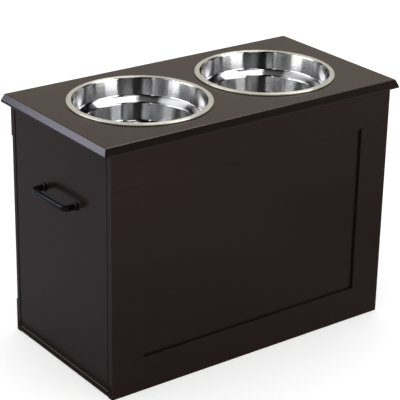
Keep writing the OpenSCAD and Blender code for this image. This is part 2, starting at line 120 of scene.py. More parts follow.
# %% Sockets that can be added and multiplied
class Wire:
    """One socket of a node tree. Signs between wires and numbers add Math nodes."""

    def __init__(self, tree, socket=None):
        self.tree = tree
        self.socket = socket

    def node(self, kind, settings=None, sockets=None, out=0):
        made = self.tree.nodes.new(kind)
        for key, value in (settings or {}).items():
            setattr(made, key, value)
        for key, value in (sockets or {}).items():
            if isinstance(value, Wire):
                self.tree.links.new(value.socket, made.inputs[key])
            else:
                made.inputs[key].default_value = value
        return Wire(self.tree, made.outputs[out])

    def math(self, operation, first, second=0.0):
        return self.node("ShaderNodeMath", {"operation": operation},
                         {0: first, 1: second})

    def __add__(self, other):
        return self.math("ADD", self, other)

    def __radd__(self, other):
        return self.math("ADD", other, self)

    def __sub__(self, other):
        return self.math("SUBTRACT", self, other)

    def __rsub__(self, other):
        return self.math("SUBTRACT", other, self)

    def __mul__(self, other):
        return self.math("MULTIPLY", self, other)

    def __rmul__(self, other):
        return self.math("MULTIPLY", other, self)

    def __truediv__(self, other):
        return self.math("DIVIDE", self, other)

    def clipped(self):
        return self.math("MINIMUM", self.math("MAXIMUM", self, 0.0), 1.0)


print("signs that add nodes:", [sign for sign in vars(Wire) if sign.startswith("__r")])

# %% Start a finish
def new_finish(name, **constants):
    """An empty finish: its material, a wire to build with, and its shader."""
    material = bpy.data.materials.new(name)
    material.use_nodes = True
    tree = material.node_tree
    shader = tree.nodes["Principled BSDF"]
    for key, value in constants.items():
        shader.inputs[key.replace("_", " ")].default_value = value
    return material, Wire(tree), shader


def feed(shader, **wires):
    for key, wire in wires.items():
        wire.tree.links.new(wire.socket, shader.inputs[key.replace("_", " ")])


def opaque(colour):
    """A colour as a socket takes it, with nothing see-through."""
    return colour if isinstance(colour, Wire) else (*colour, 1.0)


def mixed(wire, share, low, high):
    """A colour between two colours."""
    return wire.node("ShaderNodeMix", {"data_type": "RGBA"},
                     {0: share, 6: opaque(low), 7: opaque(high)}, out=2)


def speckle(wire, place, scale, detail=2.0, rough=0.5):
    """Noise from 0 to 1 whose marks are about 1/scale metres wide."""
    return wire.node("ShaderNodeTexNoise", None,
                     {"Vector": place, "Scale": scale, "Detail": detail,
                      "Roughness": rough})


def relief(wire, height, strength, depth):
    """The small hills of a surface, which only bend the light."""
    return wire.node("ShaderNodeBump", None,
                     {"Height": height, "Strength": strength, "Distance": depth})


print("shader helpers ready")

# %% [markdown]
# ## Espresso paint
#
# The boards are sprayed with a near-black brown satin paint. It reflects little
# when seen square on and much more at a low angle, which is part of why the top
# looks grey and the front almost black. A low index of refraction gives that, and
# a warm specular tint keeps what the front does reflect brown. The top board has
# a lighter, warmer copy of the paint, which is painted light. Sprayed paint on
# smooth board has orange peel, a faint waviness of about two millimetres, and a
# finer grit. Along the eased edges it is thinner and rubbed, so it is slightly
# paler and glossier there.

# %% Paint recipe
PAINT = (0.0120, 0.0076, 0.0068)
# A lighter, warmer copy of the paint for the top board: painted light on the top.
LIT_TOP_PAINT = (0.0135, 0.0100, 0.0082)
RUBBED = (0.022, 0.015, 0.0125)
UNEVEN = 0.14  # how far the base colour drifts, as a share of it


def espresso_paint(name, base, turn):
    """Sprayed paint. The turn keeps two finishes from having the same clouds."""
    material, wire, shader = new_finish(name, IOR=1.325,
                                        Specular_Tint=(1.0, 0.62, 0.56, 1.0))
    place = wire.node("ShaderNodeTexCoord", out="Object")
    place = wire.node("ShaderNodeMapping", None,
                      {"Vector": place, "Rotation": (0.0, 0.0, turn)})
    cloud = speckle(wire, place, scale=7.0, detail=3.0)
    peel = speckle(wire, place, scale=420.0, detail=1.0)
    grit = speckle(wire, place, scale=1500.0, detail=2.0, rough=0.7)
    edge = wire.node("ShaderNodeAttribute", {"attribute_name": "eased"}, out="Fac")
    wear = (edge * (0.35 + 0.65 * speckle(wire, place, scale=60.0, detail=4.0))).clipped()
    sprayed = mixed(wire, cloud, [c * (1 - UNEVEN) for c in base],
                    [c * (1 + UNEVEN) for c in base])
    feed(shader,
         Base_Color=mixed(wire, wear * 0.6, sprayed, RUBBED),
         Roughness=0.15 + 0.05 * cloud + 0.05 * grit - 0.03 * wear,
         Normal=relief(wire, 0.8 * peel + 0.2 * grit, strength=0.35, depth=0.03 * MM))
    return material


cabinet_paint = espresso_paint("cabinet_paint", PAINT, turn=0.0)
# The top board's finish: the same paint, with painted light in its lighter base colour.
top_paint = espresso_paint("top_paint", LIT_TOP_PAINT, turn=0.4)
drawer_paint = espresso_paint("drawer_paint", PAINT, turn=0.8)
print("paints:", cabinet_paint.name, top_paint.name, drawer_paint.name)

# %% [markdown]
# ## Bare fibreboard
#
# Where a drill has cut the board the paint is missing and the pressed wood fibre
# shows: tan, matt, with short pale and dark fibres. It appears only inside the
# holes for cams and screws, which are seen from below or with the drawer out.

# %% Bare board recipe
FIBRE_DARK = (0.23, 0.14, 0.075)
FIBRE_PALE = (0.50, 0.35, 0.21)


def bare_board():
    material, wire, shader = new_finish("bare_board", Specular_IOR_Level=0.3)
    place = wire.node("ShaderNodeTexCoord", out="Object")
    fibre = speckle(wire, place, scale=900.0, detail=4.0, rough=0.7)
    blotch = speckle(wire, place, scale=120.0, detail=2.0)
    feed(shader,
         Base_Color=mixed(wire, 0.7 * fibre + 0.3 * blotch, FIBRE_DARK, FIBRE_PALE),
         Roughness=0.75 + 0.2 * fibre,
         Normal=relief(wire, fibre, strength=0.6, depth=0.15 * MM))
    return material


board_core = bare_board()
print("inside of the holes:", board_core.name)

# %% [markdown]
# ## Boards with eased edges
#
# No painted board has a knife edge. A sander takes the arris off before the
# paint goes on, and that narrow round strip catches light along the whole board.
# It also makes the fine line where two flush boards meet. One could bevel a
# plain box, but the CAD boards carry real grooves and holes. So each board is a
# merged copy of its CAD mesh with only its long outer edges rounded.

# %% Ease a board
LONG_EDGE = 25 * MM  # shorter edges belong to holes, notches and corners
FLAT = math.radians(0.4)
SHARP = math.radians(20)


def eased_board(node, finish, ease, steps=2):
    """A copy of a CAD board with its long outer edges rounded."""
    source = frame["nodes"][node]
    low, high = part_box(node)
    mesh = bmesh.new()
    mesh.from_mesh(source.data)
    bmesh.ops.remove_doubles(mesh, verts=mesh.verts, dist=WELD)
    bmesh.ops.dissolve_limit(mesh, angle_limit=FLAT, verts=mesh.verts,
                             edges=mesh.edges)
    for face in mesh.faces:
        drilled = any(all(low[i] + MM < v.co[i] < high[i] - MM for i in range(3))
                      for v in face.verts)
        face.material_index = 1 if drilled else 0
        face.smooth = False
    long_edges = [e for e in mesh.edges if len(e.link_faces) == 2 and e.is_convex
                  and e.calc_length() > LONG_EDGE
                  and e.calc_face_angle() > SHARP
                  and not any(f.material_index for f in e.link_faces)]
    strip = mesh.faces.layers.float.new("eased")
    made = bmesh.ops.bevel(mesh, geom=long_edges, offset=ease, offset_type="OFFSET",
                           segments=steps, profile=0.5, affect="EDGES",
                           clamp_overlap=False, material=0)
    for face in made["faces"]:
        face[strip] = 1.0
    data = bpy.data.meshes.new(node + "_eased")
    mesh.to_mesh(data)
    mesh.free()
    piece = bpy.data.objects.new(node + "_eased", data)
    bpy.context.scene.collection.objects.link(piece)
    data.materials.append(finish)
    data.materials.append(board_core)
    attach(piece, source["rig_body"])
    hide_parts(node)
    print(node, "edges eased:", len(long_edges), "faces:", len(data.polygons))


print("edges longer than", LONG_EDGE, "m will be eased")

# %% Cabinet boards
EASE = 0.6 * MM
TOP_EASE = 0.8 * MM
BASE_CHAMFER = 1.5 * MM
CABINET_BOARDS = [
    "front_top_rail", "front_bottom_rail", "front_left_stile", "front_right_stile",
    "back_top_rail", "back_bottom_rail", "back_left_stile", "back_right_stile",
    "right_end_panel", "base_board", "mouth_stretcher"]
for node in CABINET_BOARDS:
    ease, steps = (BASE_CHAMFER, 1) if node == "base_board" else (EASE, 2)
    eased_board(node, cabinet_paint, ease, steps)

# %% Top board and drawer boards
DRAWER_BOARDS = ["drawer_face", "drawer_near_side", "drawer_far_side", "drawer_back",
                 "stop_blocks"]
# The top board gets the copy of the paint that carries painted light.
eased_board("top_board", top_paint, TOP_EASE)
for node in DRAWER_BOARDS:
    eased_board(node, drawer_paint, EASE)


# %% Panels keep their CAD shape
def finish_cad(pairs):
    """Gives each named CAD piece its one finish."""
    for node, finish in pairs:
        data = frame["nodes"][node].data
        data.materials.clear()
        data.materials.append(finish)
        print(node, "keeps its CAD shape, finish:", finish.name)


finish_cad([("front_panel", cabinet_paint), ("back_panel", cabinet_paint),
            ("drawer_bottom", drawer_paint)])

# %% [markdown]
# ## Turned steel
#
# The bowls are pressed from stainless sheet and then polished on a spinning
# chuck. The polish leaves rings so fine that they only show in how a reflection
# smears: sharp round the bowl, long and soft up and down its wall. Anisotropy
# does that, turned by a quarter so that its long way runs up the wall. Coarser
# rings, a few of them visible, vary the roughness and the tone. The flat rim
# gets a painted reflection: a pale warm colour on a rougher finish that is only
# slightly metallic.

# %% Steel recipe
STEEL_DEEP = (0.44, 0.44, 0.45)
STEEL_PALE = (0.52, 0.52, 0.52)
# The rim's pale warm colour is a painted reflection of warm surroundings.
RIM_PAINTED_REFLECTION = (0.80, 0.765, 0.65)
RIM_BORDER = 0.6 * MM  # width of the change from polished steel to the painted reflection
RIM_NONMETAL = 0.8  # how much of the rim is not metallic
QUARTER = 0.25  # of a turn


def turned_steel(name, middle, rim_inner):
    """Polished steel round an upright axis; outside of one radius, a painted reflection.
    """
    material, wire, shader = new_finish(name, Metallic=1.0, Anisotropic=1.0,
                                        Anisotropic_Rotation=QUARTER)
    place = wire.node("ShaderNodeTexCoord", out="Object")
    place = wire.node("ShaderNodeMapping", None,
                      {"Vector": place, "Location": [-c for c in middle]})
    flat = wire.node("ShaderNodeVectorMath", {"operation": "MULTIPLY"},
                     {0: place, 1: (1.0, 1.0, 0.0)})
    radius = wire.node("ShaderNodeVectorMath", {"operation": "LENGTH"}, {0: flat},
                       out="Value")
    height = wire.node("ShaderNodeSeparateXYZ", None, {0: place}, out="Z")
    around = wire.node("ShaderNodeCombineXYZ", None,
                       {0: radius, 1: height, 2: 0.0})
    fine = speckle(wire, around, scale=2600.0, detail=2.0, rough=0.8)
    coarse = speckle(wire, around, scale=420.0, detail=2.0, rough=0.6)
    smear = speckle(wire, place, scale=25.0, detail=3.0)
    on_rim = ((radius - rim_inner) / RIM_BORDER).clipped()
    polished = mixed(wire, 0.6 * fine + 0.4 * coarse, STEEL_DEEP, STEEL_PALE)
    # On the rim, the pale colour and lower metallic make a painted reflection.
    feed(shader,
         Base_Color=mixed(wire, on_rim, polished, RIM_PAINTED_REFLECTION),
         Metallic=1.0 - RIM_NONMETAL * on_rim,
         Roughness=0.11 + 0.03 * coarse + 0.03 * smear + 0.14 * on_rim,
         Normal=relief(wire, 0.7 * coarse + 0.3 * fine, strength=0.12, depth=0.02 * MM))
    return material


print("steel from", STEEL_DEEP, "to", STEEL_PALE)

# %% [markdown]
# ## The bowls, spun from one line
#
# A pressed bowl is one line turned round an axis: rolled edge, flat rim, leaning
# wall, sloped shoulder, second wall, floor. Geometry Nodes suit it, because the
# line follows from a handful of sizes. The tree puts one point at each corner,
# rounds the corners with the press's bend radii, and sweeps the line round a
# circle. Guard rings just outside the bends keep the walls between them straight
# in the smooth shading. Solidify gives the sheet its thickness afterwards.

# %% Helpers for node trees that make shapes
def shape_tree(name, sizes, seats=False):
    """A Geometry Nodes tree with one named input for each size."""
    tree = bpy.data.node_groups.new(name, "GeometryNodeTree")
    tree.interface.new_socket("Shape", in_out="OUTPUT",
                              socket_type="NodeSocketGeometry")
    if seats:
        tree.interface.new_socket("Seats", in_out="INPUT",
                                  socket_type="NodeSocketGeometry")
    tree.interface.new_socket("Finish", in_out="INPUT",
                              socket_type="NodeSocketMaterial")
    for size, value in sizes.items():
        kind = "NodeSocketInt" if isinstance(value, int) else "NodeSocketFloat"
        made = tree.interface.new_socket(size, in_out="INPUT", socket_type=kind)
        made.default_value = value
    inputs = tree.nodes.new("NodeGroupInput")
    wires = {s.name: Wire(tree, s) for s in inputs.outputs if s.name}
    return tree, wires


def end_tree(tree, geometry, finish):
    """Every tree ends in real geometry and one material."""
    start = Wire(tree)
    real = start.node("GeometryNodeRealizeInstances", None, {0: geometry})
    done = start.node("GeometryNodeSetMaterial", None,
                      {"Geometry": real, "Material": finish})
    out = tree.nodes.new("NodeGroupOutput")
    tree.links.new(done.socket, out.inputs[0])


def grow(name, tree, values, start=None):
    """Runs a tree on a mesh, empty or given, and returns a plain object."""
    data = start or bpy.data.meshes.new(name + "_seed")
    seed = bpy.data.objects.new(name + "_seed", data)
    bpy.context.scene.collection.objects.link(seed)
    modifier = seed.modifiers.new("shape", "NODES")
    modifier.node_group = tree
    for item in tree.interface.items_tree:
        if item.name in values and item.in_out == "INPUT":
            modifier[item.identifier] = values[item.name]
    graph = bpy.context.evaluated_depsgraph_get()
    made = bpy.data.meshes.new_from_object(seed.evaluated_get(graph))
    made.name = name
    bpy.data.objects.remove(seed)
    piece = bpy.data.objects.new(name, made)
    bpy.context.scene.collection.objects.link(piece)
    return piece


def by_index(tree, values):
    """A value for each point, chosen by the point's number."""
    start = Wire(tree)
    chooser = tree.nodes.new("GeometryNodeIndexSwitch")
    chooser.data_type = "FLOAT"
    while len(chooser.index_switch_items) < len(values):
        chooser.index_switch_items.new()
    tree.links.new(start.node("GeometryNodeInputIndex").socket, chooser.inputs[0])
    for i, value in enumerate(values):
        if isinstance(value, Wire):
            tree.links.new(value.socket, chooser.inputs[i + 1])
        else:
            chooser.inputs[i + 1].default_value = value
    return Wire(tree, chooser.outputs[0])


def turned(tree, points, bends, steps, turns, middle):
    """A line of (radius, height) points with round corners, turned round Z.

    The line is swept along a guide circle, and middle is that circle's radius.
    """
    start = Wire(tree)
    across, up = zip(*points)
    line = start.node("GeometryNodeMeshLine", None, {"Count": len(points)})
    corner = start.node("ShaderNodeCombineXYZ", None, {
        0: by_index(tree, across) - middle, 1: 0.0 - by_index(tree, up)})
    line = start.node("GeometryNodeSetPosition", None,
                      {"Geometry": line, "Position": corner})
    line = start.node("GeometryNodeMeshToCurve", None, {0: line})
    line = start.node("GeometryNodeFilletCurve", {"mode": "POLY"},
                      {"Curve": line, "Count": steps, "Radius": by_index(tree, bends),
                       "Limit Radius": True})
    ring = start.node("GeometryNodeCurvePrimitiveCircle", None,
                      {"Resolution": turns, "Radius": middle})
    wall = start.node("GeometryNodeCurveToMesh", None,
                      {"Curve": ring, "Profile Curve": line})
    return start.node("GeometryNodeMergeByDistance", None,
                      {"Geometry": wall, "Distance": WELD})


print("shape helpers ready")

# %% The bowl's tree
BOWL = {
    "Rim radius": 120.5 * MM, "Rim width": 9.5 * MM, "Roll radius": 1.5 * MM,
    "Upper wall": 31.5 * MM, "Upper lean": 4.5 * MM, "Shoulder height": 7.5 * MM,
    "Shoulder width": 14 * MM, "Lower wall": 35 * MM, "Lower lean": 5 * MM,
    "Floor bend": 9 * MM, "Soft bend": 4 * MM, "Rim height": 441.2 * MM,
    "Turns": 180}
SHEET = 0.8 * MM
PAINTED_RIM_BAND = 8.8 * MM  # width of the ring at the rim with the painted reflection
GUIDE = 0.1  # radius of the circle that the line is swept along
BEND_STEPS = 8
# Places on the line, as shares of the bend beside them
FLOOR_LEAD, MOUTH_BEND, ROLL_LEAD, CURL_BACK = 0.92, 0.7, 1.25, 1.6
# For the wall that starts at a corner: how far along it each guard ring lies
GUARDS = {"floor": (0.232, 0.932), "lower": (0.146, 0.854), "shoulder": (0.076, 0.911)}


def bowl_tree():
    tree, size = shape_tree("pressed_bowl", BOWL)
    start = Wire(tree)
    body = size["Rim radius"] - size["Rim width"]
    shoulder = body - size["Upper lean"]
    lower = shoulder - size["Shoulder width"]
    floor = lower - size["Lower lean"]
    shoulder_z = 0.0 - size["Upper wall"]
    lower_z = shoulder_z - size["Shoulder height"]
    floor_z = lower_z - size["Lower wall"]
    roll_z = size["Roll radius"] * -2.0
    curl = size["Rim radius"] - size["Roll radius"] * CURL_BACK
    edge = size["Rim radius"]
    soft = size["Soft bend"]
    corners = {  # radius, height, bend
        "middle": (0.0, floor_z, 0.0),
        "flat floor": (floor - size["Floor bend"] * FLOOR_LEAD, floor_z, 0.0),
        "floor": (floor, floor_z, size["Floor bend"]),
        "lower": (lower, lower_z, soft),
        "shoulder": (shoulder, shoulder_z, soft),
        "mouth": (body, 0.0, soft * MOUTH_BEND),
        "rim": (body + soft * MOUTH_BEND, 0.0, 0.0),
        "before the roll": (edge - size["Roll radius"] * ROLL_LEAD, 0.0, 0.0),
        "roll": (edge, 0.0, size["Roll radius"]),
        "under the roll": (edge, roll_z, size["Roll radius"]),
        "curl": (curl, roll_z, 0.0)}
    points = []
    for (name, here), there in zip(corners.items(), [*corners.values()][1:] + [None]):
        points.append(here)
        for share in GUARDS.get(name, ()):
            points.append((here[0] + (there[0] - here[0]) * share,
                           here[1] + (there[1] - here[1]) * share, 0.0))
    wall = turned(tree, [(radius, height) for radius, height, bend in points],
                  [bend for radius, height, bend in points],
                  BEND_STEPS, size["Turns"], GUIDE)
    lift = start.node("ShaderNodeCombineXYZ", None, {2: size["Rim height"]})
    wall = start.node("GeometryNodeTransform", None,
                      {"Geometry": wall, "Translation": lift})
    wall = start.node("GeometryNodeSetShadeSmooth", None, {0: wall})
    end_tree(tree, wall, size["Finish"])
    return tree


bowl_shape = bowl_tree()
print("bowl tree with", len(bowl_shape.nodes), "nodes")


# %% Two bowls
def pressed_bowl(node, tree):
    """Grows one bowl over its CAD piece and gives the sheet its thickness."""
    low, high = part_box(node)
    middle = Vector(((low.x + high.x) / 2, (low.y + high.y) / 2, 0.0))
    # Outside this radius the rim gets its painted reflection.
    steel = turned_steel(node + "_steel", middle, BOWL["Rim radius"] - PAINTED_RIM_BAND)
    shell = grow(node + "_shell", tree, {"Finish": steel})
    mesh = bmesh.new()
    mesh.from_mesh(shell.data)
    mesh.transform(Matrix.Translation(middle))
    bmesh.ops.remove_doubles(mesh, verts=mesh.verts, dist=WELD)
    bmesh.ops.recalc_face_normals(mesh, faces=mesh.faces)
    floor_face = min(mesh.faces, key=lambda f: f.calc_center_median().z)
    if floor_face.normal.z < 0:
        bmesh.ops.reverse_faces(mesh, faces=mesh.faces)
    mesh.to_mesh(shell.data)
    mesh.free()
    sheet = shell.modifiers.new("sheet", "SOLIDIFY")
    sheet.thickness = SHEET
    sheet.offset = -1.0
    graph = bpy.context.evaluated_depsgraph_get()
    done = bpy.data.meshes.new_from_object(shell.evaluated_get(graph))
    piece = bpy.data.objects.new(node + "_pressed", done)
    bpy.context.scene.collection.objects.link(piece)
    bpy.data.objects.remove(shell)
    for face in done.polygons:
        face.use_smooth = True
    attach(piece, frame["nodes"][node]["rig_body"])
    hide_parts(node)
    heights = [v.co.z for v in done.vertices]
    print(node, "faces:", len(done.polygons), "from", round(min(heights), 4),
          "to", round(max(heights), 4))


for node in ["bowl_left", "bowl_right"]:
    pressed_bowl(node, bowl_shape)

# %% [markdown]
# ## Black handle
#
# The pull is cast metal with a black powder coat: satin, with a very fine even
# texture, and a little more polished where fingers rub the grip.

# %% Handle finish
POWDER = (0.0022, 0.0020, 0.0022)
POWDER_RUBBED = (0.0042, 0.0038, 0.0042)


def powder_coat():
    material, wire, shader = new_finish("handle_black", IOR=1.24)
    place = wire.node("ShaderNodeTexCoord", out="Object")
    grain = speckle(wire, place, scale=2200.0, detail=2.0, rough=0.6)
    rub = speckle(wire, place, scale=90.0, detail=3.0)
    feed(shader,
         Base_Color=mixed(wire, rub, POWDER, POWDER_RUBBED),
         Roughness=0.13 + 0.06 * grain + 0.05 * rub,
         Normal=relief(wire, grain, strength=0.25, depth=0.02 * MM))
    return material


handle_black = powder_coat()
print("handle finish:", handle_black.name)

# %% Path of the handle's bar
HANDLE_Z = 305 * MM
FACE_X = -284.5 * MM  # the drawer's face
FOOT_Y = 48 * MM
GRIP_R = 596.5 * MM
GRIP_X = 288.5 * MM  # middle of the arc that the grip follows
BEND_R = 8 * MM
FOOT_GAP = 1.0 * MM  # from the drawer's face to the first point of the path
FOOT_STEPS, BEND_ARC_STEPS, GRIP_STEPS = 7, 10, 12


def handle_path():
    """Points and directions along the bar, from one foot round to the other."""
    grip_angle = math.asin((FOOT_Y - BEND_R) / (GRIP_R - BEND_R))
    bend_x = GRIP_X - (GRIP_R - BEND_R) * math.cos(grip_angle)
    bend_y = (GRIP_R - BEND_R) * math.sin(grip_angle)
    half = []
    for i in range(FOOT_STEPS):
        x = FACE_X - FOOT_GAP + (bend_x - FACE_X + FOOT_GAP) * i / FOOT_STEPS
        half.append((Vector((x, FOOT_Y, HANDLE_Z)), Vector((-1, 0, 0))))
    for i in range(BEND_ARC_STEPS + 1):
        a = (math.pi / 2 - grip_angle) * i / BEND_ARC_STEPS
        spot = Vector((bend_x - BEND_R * math.sin(a), bend_y + BEND_R * math.cos(a),
                       HANDLE_Z))
        half.append((spot, Vector((-math.cos(a), -math.sin(a), 0))))
    for i in range(1, GRIP_STEPS + 1):
        a = grip_angle * (1 - i / GRIP_STEPS)
        spot = Vector((GRIP_X - GRIP_R * math.cos(a), GRIP_R * math.sin(a), HANDLE_Z))
        half.append((spot, Vector((-math.sin(a), -math.cos(a), 0))))
    flip = Matrix.Diagonal((1, -1, 1))
    other = [(flip @ p, -(flip @ d)) for p, d in reversed(half[:-1])]
    return half + other


bar_path = handle_path()
print("bar stations:", len(bar_path))

# %% Sections, lofts and turned parts
def bar_section(width, height, corner, steps=6):
    """Corners of a rounded rectangle, counter-clockwise."""
    points = []
    for turn, sx, sy in [(0, 1, 1), (90, -1, 1), (180, -1, -1), (270, 1, -1)]:
        for i in range(steps + 1):
            a = math.radians(turn + 90 * i / steps)
            points.append((sx * (width / 2 - corner) + corner * math.cos(a),
                           sy * (height / 2 - corner) + corner * math.sin(a)))
    return points


def loft(mesh, rings):
    """Joins rings of points into a closed tube with capped ends."""
    made = [[mesh.verts.new(p) for p in ring] for ring in rings]
    for a, b in zip(made, made[1:]):
        for i in range(len(a)):
            j = (i + 1) % len(a)
            mesh.faces.new((a[i], a[j], b[j], b[i]))
    mesh.faces.new(list(reversed(made[0])))
    mesh.faces.new(made[-1])


def lathe(mesh, line, centre, steps=40):
    """Turns a line of (radius, depth) pairs round an axis along -X."""
    rings = []
    for radius, depth in line:
        rings.append([(centre.x - depth,
                       centre.y + radius * math.cos(2 * math.pi * i / steps),
                       centre.z + radius * math.sin(2 * math.pi * i / steps))
                      for i in range(steps)])
    loft(mesh, rings)


print("corners of the bar's section:", len(bar_section(1.0, 1.0, 0.1)))

# %% Sweep the bar and turn the collars
BAR_WIDTH, BAR_HEIGHT, BAR_CORNER = 7.0 * MM, 10.0 * MM, 2.2 * MM
FLARE = 0.45  # how much thicker a foot is where it meets the collar
FLARE_STATIONS = 3.0
COLLAR = [  # radius and depth of its outline, in millimetres
    (6.9, 0.0), (7.4, 0.15), (7.5, 0.6), (7.5, 2.1), (7.35, 2.55), (6.9, 2.85),
    (6.2, 3.0), (5.2, 3.05)]

mesh = bmesh.new()
rings = []
for n, (spot, way) in enumerate(bar_path):
    along = min(n, len(bar_path) - 1 - n)
    flare = 1.0 + FLARE * max(0.0, 1 - along / FLARE_STATIONS) ** 2
    across = Vector((way.y, -way.x, 0))
    section = bar_section(BAR_WIDTH * flare, BAR_HEIGHT * flare, BAR_CORNER * flare)
    rings.append([spot + across * u + Vector((0, 0, v)) for u, v in section])
loft(mesh, rings)
for side in (-1, 1):
    lathe(mesh, [(r * MM, d * MM) for r, d in COLLAR],
          Vector((FACE_X, side * FOOT_Y, HANDLE_Z)))
bmesh.ops.recalc_face_normals(mesh, faces=mesh.faces)
data = bpy.data.meshes.new("bridge_handle")
mesh.to_mesh(data)
mesh.free()
data.materials.append(handle_black)
for face in data.polygons:
    face.use_smooth = len(face.vertices) == 4
bridge_handle = bpy.data.objects.new("bridge_handle", data)
bpy.context.scene.collection.objects.link(bridge_handle)
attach(bridge_handle, "drawer")
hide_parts("handle")
print("handle faces:", len(data.polygons))

# %% [markdown]
# ## Small metal, wood and nylon
#
# Cam locks and screws are die-cast or turned steel with bright zinc plating,
# which has a pale bluish tone with faint yellow clouds. Dowels are beech with
# lengthwise grain. The glide strips are white nylon, slightly waxy.

# %% Hardware, dowel and glide finishes
ZINC_BLUE, ZINC_YELLOW = (0.52, 0.53, 0.56), (0.66, 0.64, 0.57)
BEECH_DARK, BEECH_PALE = (0.36, 0.22, 0.11), (0.62, 0.44, 0.26)
NYLON_DULL, NYLON_CLEAN = (0.66, 0.65, 0.61), (0.76, 0.75, 0.72)


def zinc_plate():
    material, wire, shader = new_finish("zinc_plate", Metallic=1.0)
    place = wire.node("ShaderNodeTexCoord", out="Object")
    cloud = speckle(wire, place, scale=160.0, detail=3.0)
    grain = speckle(wire, place, scale=2500.0, detail=2.0, rough=0.7)
    feed(shader,
         Base_Color=mixed(wire, cloud, ZINC_BLUE, ZINC_YELLOW),
         Roughness=0.30 + 0.18 * grain,
         Normal=relief(wire, grain, strength=0.3, depth=0.02 * MM))
    return material


def beech():
    material, wire, shader = new_finish("dowel_wood", Specular_IOR_Level=0.3)
    place = wire.node("ShaderNodeTexCoord", out="Object")
    grain = wire.node("ShaderNodeMapping", None,
                      {"Vector": place, "Scale": (900.0, 900.0, 60.0)})
    streak = speckle(wire, grain, scale=1.0, detail=3.0)
    feed(shader,
         Base_Color=mixed(wire, streak, BEECH_DARK, BEECH_PALE),
         Roughness=0.55 + 0.25 * streak,
         Normal=relief(wire, streak, strength=0.4, depth=0.05 * MM))
    return material


def nylon():
    material, wire, shader = new_finish("glide_nylon", Specular_IOR_Level=0.45)
    place = wire.node("ShaderNodeTexCoord", out="Object")
    wax = speckle(wire, place, scale=40.0, detail=3.0)
    scuff = speckle(wire, place, scale=700.0, detail=2.0)
    feed(shader,
         Base_Color=mixed(wire, wax, NYLON_DULL, NYLON_CLEAN),
         Roughness=0.34 + 0.2 * scuff,
         Normal=relief(wire, scuff, strength=0.25, depth=0.03 * MM))
    return material


zinc, dowel_wood, glide_nylon = zinc_plate(), beech(), nylon()
finish_cad([("cam_bolts", zinc), ("drawer_cam_bolts", zinc),
            ("frame_dowels", dowel_wood), ("locating_dowels", dowel_wood),
            ("drawer_glides", glide_nylon)])

# %% [markdown]
# ## Cams and screws, repeated from their seats
#
# A flat-pack cabinet repeats two fasteners many times. The cam is a die-cast disc
# with a cross slot to turn it and a pocket that grips the bolt's head. The screw
# is a slotted head on a threaded core. Copying one by hand would be slow and easy
# to get wrong, so each has a tree. It reads a seat for each copy, a point with a
# turn, taken from the CAD solids, and puts the same fastener on every seat.

# %% Find the seats
END_DEPTH = 0.3 * MM  # points this close to an end belong to it


def islands(node):
    """The corner points of each separate solid of a CAD piece."""
    mesh = bmesh.new()
    mesh.from_mesh(frame["nodes"][node].data)
    bmesh.ops.remove_doubles(mesh, verts=mesh.verts, dist=WELD)
    seen, found = set(), []
    for first in mesh.verts:
        if first in seen:
            continue
        seen.add(first)
        solid, front = [], [first]
        while front:
            vert = front.pop()
            solid.append(vert.co.copy())
            for edge in vert.link_edges:
                other = edge.other_vert(vert)
                if other not in seen:
                    seen.add(other)
                    front.append(other)
        found.append(solid)
    mesh.free()
    return found


def box_of(points):
    """The middle and the size of a solid."""
    low = Vector([min(p[i] for p in points) for i in range(3)])
    high = Vector([max(p[i] for p in points) for i in range(3)])
    return (low + high) / 2, high - low


def unit(axis, sign):
    """A step of this length along one axis."""
    return Vector([sign if i == axis else 0.0 for i in range(3)])


def reach(points, end, axis, middle):
    """How wide the solid is near one end."""
    return max([(p - middle - unit(axis, (p - middle)[axis])).length
                for p in points if abs(p[axis] - end) < END_DEPTH])


def seats(node, bolts=None):
    """A mesh with one point in the middle of each head, and its turn."""
    spots, turns = [], []
    bolt_middles = [box_of(points)[0] for points in islands(bolts)] if bolts else []
    for points in islands(node):
        middle, size = box_of(points)
        usual = sorted(size)[1]
        axis = max(range(3), key=lambda i: abs(size[i] - usual))
        if bolts:
            bolt = min(bolt_middles, key=lambda m: (m - middle).length)
            away = bolt - middle
            sign = -1.0 if away[axis] > 0 else 1.0
            side = max((i for i in range(3) if i != axis), key=lambda i: abs(away[i]))
            x = unit(side, 1.0 if away[side] > 0 else -1.0)
        else:
            ends = [middle[axis] + way * size[axis] / 2 for way in (-1, 1)]
            wide = [reach(points, end, axis, middle) for end in ends]
            sign = 1.0 if wide[1] > wide[0] else -1.0
            x = unit((axis + 1) % 3, 1.0)
        z = unit(axis, sign)
        spots.append(middle + z * size[axis] / 2)
        turns += list(Matrix((x, z.cross(x), z)).transposed().to_euler())
    data = bpy.data.meshes.new(node + "_seats")
    data.from_pydata(spots, [], [])
    data.attributes.new("turn", "FLOAT_VECTOR", "POINT").data.foreach_set("vector", turns)
    return data


print("solids of the cams:", len(islands("cam_locks")))

# %% Cut a cross slot and place the copies
# The two bars of a slot differ in depth, because Mesh Boolean leaves flaws where
# two cutters share a face. For the same reason no bar lies on a corner of the head.
SLOT_BARS = ((43, 2.0), (133, 2.1))  # turn in degrees, height over slot depth


def cross_cut(tree, body, length, width, depth, *more):
    """Cuts a cross slot and any other given shape out of a body."""
    start = Wire(tree)
    cut = tree.nodes.new("GeometryNodeMeshBoolean")
    cut.operation = "DIFFERENCE"
    tree.links.new(body.socket, cut.inputs[0])
    for angle, deeper in SLOT_BARS:
        bar = start.node("ShaderNodeCombineXYZ", None,
                         {0: length, 1: width, 2: depth * deeper})
        block = start.node("GeometryNodeMeshCube", None, {"Size": bar})
        block = start.node("GeometryNodeTransform", None, {
            "Geometry": block, "Rotation": (0.0, 0.0, math.radians(angle))})
        tree.links.new(block.socket, cut.inputs[1])
    for cutter in more:
        tree.links.new(cutter.socket, cut.inputs[1])
    return Wire(tree, cut.outputs[0])


